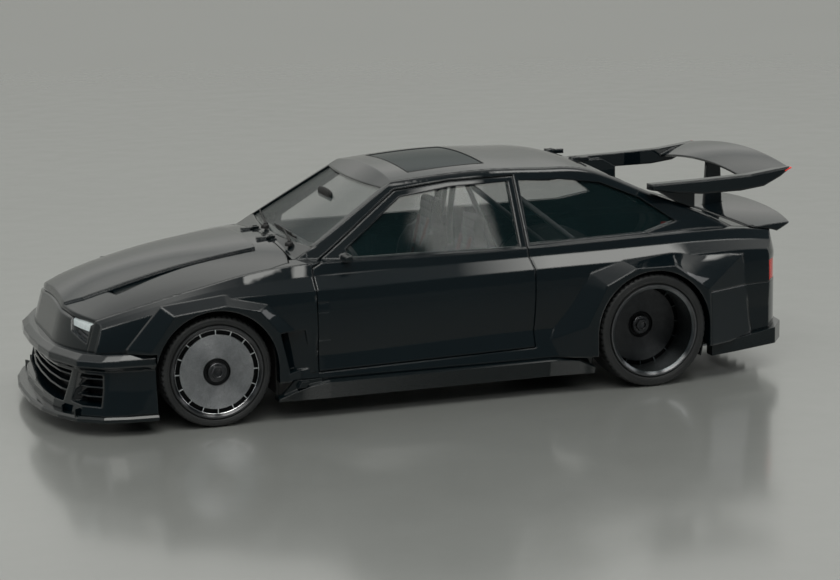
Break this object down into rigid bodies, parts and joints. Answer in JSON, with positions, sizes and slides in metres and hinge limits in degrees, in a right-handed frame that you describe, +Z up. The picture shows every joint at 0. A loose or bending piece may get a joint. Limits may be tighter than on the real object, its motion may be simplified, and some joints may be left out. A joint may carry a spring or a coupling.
{
  "type": "two-door rally car",
  "caption": "Wide-arched two-door rally car with fastback hatch, twin-deck rear wing, opening doors, bonnet and hatch, steered and rolling wheels.",
  "frame": {"origin": "on the ground, midway along and across the car", "axes": "+X forward, +Y to the car's left, +Z up"},
  "size_m": [4.625, 1.936, 1.3264],
  "materials": {
    "body_paint": "deep blue-black gloss lacquer with a fine orange-peel",
    "dark_trim": "gloss black composite with light scuffs",
    "underbody": "satin grey-black underseal",
    "window_glass": "lightly smoked safety glass",
    "lamp_front": "clear lens over a dark lamp body",
    "lamp_rear": "deep red lens",
    "wheel_metal": "dark spun metal with bright machined edges",
    "tyre": "black rubber, plain sidewall",
    "machined_steel": "machined steel",
    "cast_metal": "dull cast metal",
    "cabin_trim": "grained black plastic",
    "seat_cloth": "dark woven cloth",
    "cage_paint": "satin grey paint"
  },
  "bodies": {
    "root": {"fender_left": "body_paint", "fender_right": "body_paint", "nose_panel": "body_paint", "headlamps": "lamp_front", "front_bumper": "body_paint", "front_splitter": "dark_trim", "body_side_left": "body_paint", "body_side_right": "body_paint", "quarter_glass": "window_glass", "windscreen": "window_glass", "roof_panel": "body_paint", "sunroof_panel": "dark_trim", "tail_panel": "body_paint", "tail_lamps": "lamp_rear", "rear_bumper": "body_paint", "rear_diffuser": "dark_trim", "side_skirts": "dark_trim", "cabin_floor": "underbody", "rear_floor": "underbody", "front_bulkhead": "dark_trim", "engine_block": "cast_metal", "front_subframe": "cast_metal", "rear_axle": "cast_metal", "exhaust": "machined_steel", "dashboard": "cabin_trim", "steering_wheel": "cabin_trim", "seats": "seat_cloth", "roll_cage": "cage_paint"},
    "bonnet_lid": {"bonnet": "body_paint"},
    "hatch": {"hatch_frame": "body_paint", "hatch_glass": "window_glass", "wing": "body_paint", "lip_spoiler": "body_paint"},
    "left_door": {"door_left": "body_paint", "door_glass_left": "window_glass"},
    "right_door": {"door_right": "body_paint", "door_glass_right": "window_glass"},
    "left_knuckle": {"knuckle_left": "machined_steel"},
    "right_knuckle": {"knuckle_right": "machined_steel"},
    "front_left_wheel": {"tyre_front_left": "tyre", "rim_front_left": "wheel_metal"},
    "front_right_wheel": {"tyre_front_right": "tyre", "rim_front_right": "wheel_metal"},
    "rear_left_wheel": {"tyre_rear_left": "tyre", "rim_rear_left": "wheel_metal"},
    "rear_right_wheel": {"tyre_rear_right": "tyre", "rim_rear_right": "wheel_metal"}
  },
  "joints": [
    {"name": "left_door_hinge", "type": "hinge", "parent": "root", "child": "left_door", "pos_m": [0.721, 0.846, 0.55], "axis": [0, 0, -1], "range_deg": [0, 65]},
    {"name": "right_door_hinge", "type": "hinge", "parent": "root", "child": "right_door", "pos_m": [0.721, -0.846, 0.55], "axis": [0, 0, 1], "range_deg": [0, 65]},
    {"name": "bonnet_hinge", "type": "hinge", "parent": "root", "child": "bonnet_lid", "pos_m": [0.872, 0, 0.93], "axis": [0, -1, 0], "range_deg": [0, 50]},
    {"name": "hatch_hinge", "type": "hinge", "parent": "root", "child": "hatch", "pos_m": [-1.073, 0, 1.275], "axis": [0, 1, 0], "range_deg": [0, 75]},
    {"name": "left_steering", "type": "hinge", "parent": "root", "child": "left_knuckle", "pos_m": [1.369, 0.7535, 0.315], "axis": [0, 0, 1], "range_deg": [-30, 30]},
    {"name": "right_steering", "type": "hinge", "parent": "root", "child": "right_knuckle", "pos_m": [1.369, -0.7535, 0.315], "axis": [0, 0, 1], "range_deg": [-30, 30]},
    {"name": "front_left_spin", "type": "hinge", "parent": "left_knuckle", "child": "front_left_wheel", "pos_m": [1.369, 0.7535, 0.315], "axis": [0, 1, 0], "continuous": true},
    {"name": "front_right_spin", "type": "hinge", "parent": "right_knuckle", "child": "front_right_wheel", "pos_m": [1.369, -0.7535, 0.315], "axis": [0, 1, 0], "continuous": true},
    {"name": "rear_left_spin", "type": "hinge", "parent": "root", "child": "rear_left_wheel", "pos_m": [-1.239, 0.8, 0.337], "axis": [0, 1, 0], "continuous": true},
    {"name": "rear_right_spin", "type": "hinge", "parent": "root", "child": "rear_right_wheel", "pos_m": [-1.239, -0.8, 0.337], "axis": [0, 1, 0], "continuous": true}
  ],
  "couplings": [
    {"joint": "right_steering", "follows": "left_steering", "ratio": 1}
  ]
}
